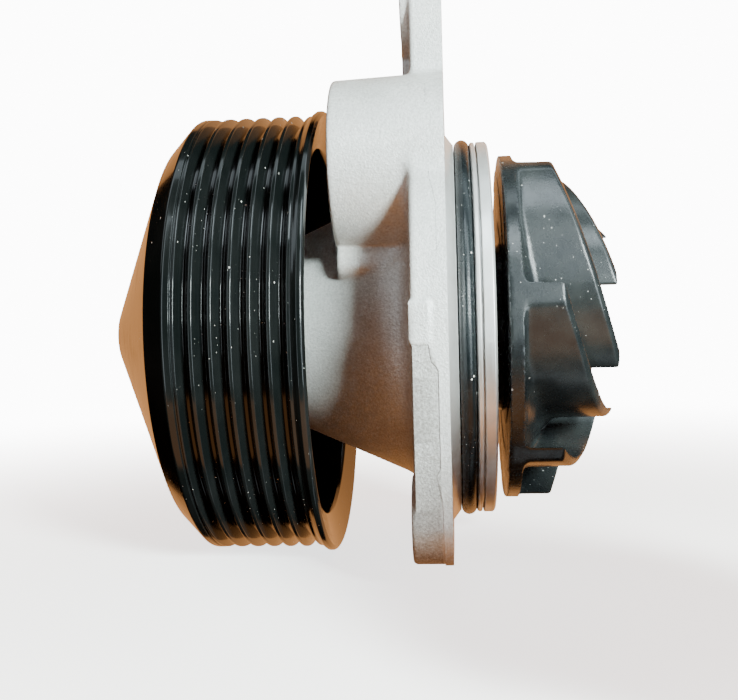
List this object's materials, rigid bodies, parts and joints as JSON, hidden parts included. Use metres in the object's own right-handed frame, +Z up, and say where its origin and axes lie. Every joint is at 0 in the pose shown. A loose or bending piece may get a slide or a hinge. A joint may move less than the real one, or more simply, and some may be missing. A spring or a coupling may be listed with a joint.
{
  "type": "engine water pump",
  "caption": "Belt-driven engine coolant pump with a cast flanged housing, ribbed conical-nosed pulley, sealed O-ring spigot and open curved-vane impeller.",
  "frame": {"origin": "on the shaft axis, in the plane of the flange face that mates with the engine", "axes": "+X along the shaft from the pulley towards the impeller, +Z up towards the upper mounting ear, +Y away from the side with the boss"},
  "size_m": [0.1087, 0.099, 0.129],
  "materials": {
    "cast": "fine shot-blasted casting",
    "pulley_black": "glossy black moulding",
    "impeller_black": "glossy black moulding with fine grain",
    "rubber": "satin black",
    "steel": "ground steel",
    "bearing_steel": "polished bearing steel",
    "brass": "drawn brass",
    "carbon": "dense matt carbon",
    "ceramic": "ground ceramic",
    "cage_plastic": "natural nylon",
    "plug_steel": "pressed zinc-plated steel",
    "weep_plastic": "matt black moulding"
  },
  "bodies": {
    "housing": {"housing": "cast", "reservoir_plug": "plug_steel", "o_ring": "rubber", "weep_cover": "weep_plastic", "bearing_outer_ring": "bearing_steel", "bearing_seal_front": "rubber", "bearing_seal_rear": "rubber", "seal_cup": "brass", "seal_bellows": "rubber", "seal_spring": "steel", "seal_carbon_ring": "carbon"},
    "rotor": {"pulley": "pulley_black", "pulley_hub": "steel", "shaft": "steel", "slinger": "plug_steel", "seal_seat_ring": "ceramic", "seal_seat_cup": "rubber", "impeller": "impeller_black", "impeller_bush": "brass"},
    "ball_row": {"bearing_balls": "bearing_steel", "ball_cage": "cage_plastic"},
    "roller_row": {"bearing_rollers": "bearing_steel", "roller_cage": "cage_plastic"}
  },
  "joints": [
    {"name": "shaft_spin", "type": "hinge", "parent": "housing", "child": "rotor", "pos_m": [0, 0, 0], "axis": [1, 0, 0], "continuous": true},
    {"name": "ball_row_spin", "type": "hinge", "parent": "housing", "child": "ball_row", "pos_m": [-0.046, 0, 0], "axis": [1, 0, 0], "continuous": true},
    {"name": "roller_row_spin", "type": "hinge", "parent": "housing", "child": "roller_row", "pos_m": [-0.0252, 0, 0], "axis": [1, 0, 0], "continuous": true}
  ],
  "couplings": [
    {"joint": "ball_row_spin", "follows": "shaft_spin", "ratio": 0.34709},
    {"joint": "roller_row_spin", "follows": "shaft_spin", "ratio": 0.38528}
  ]
}
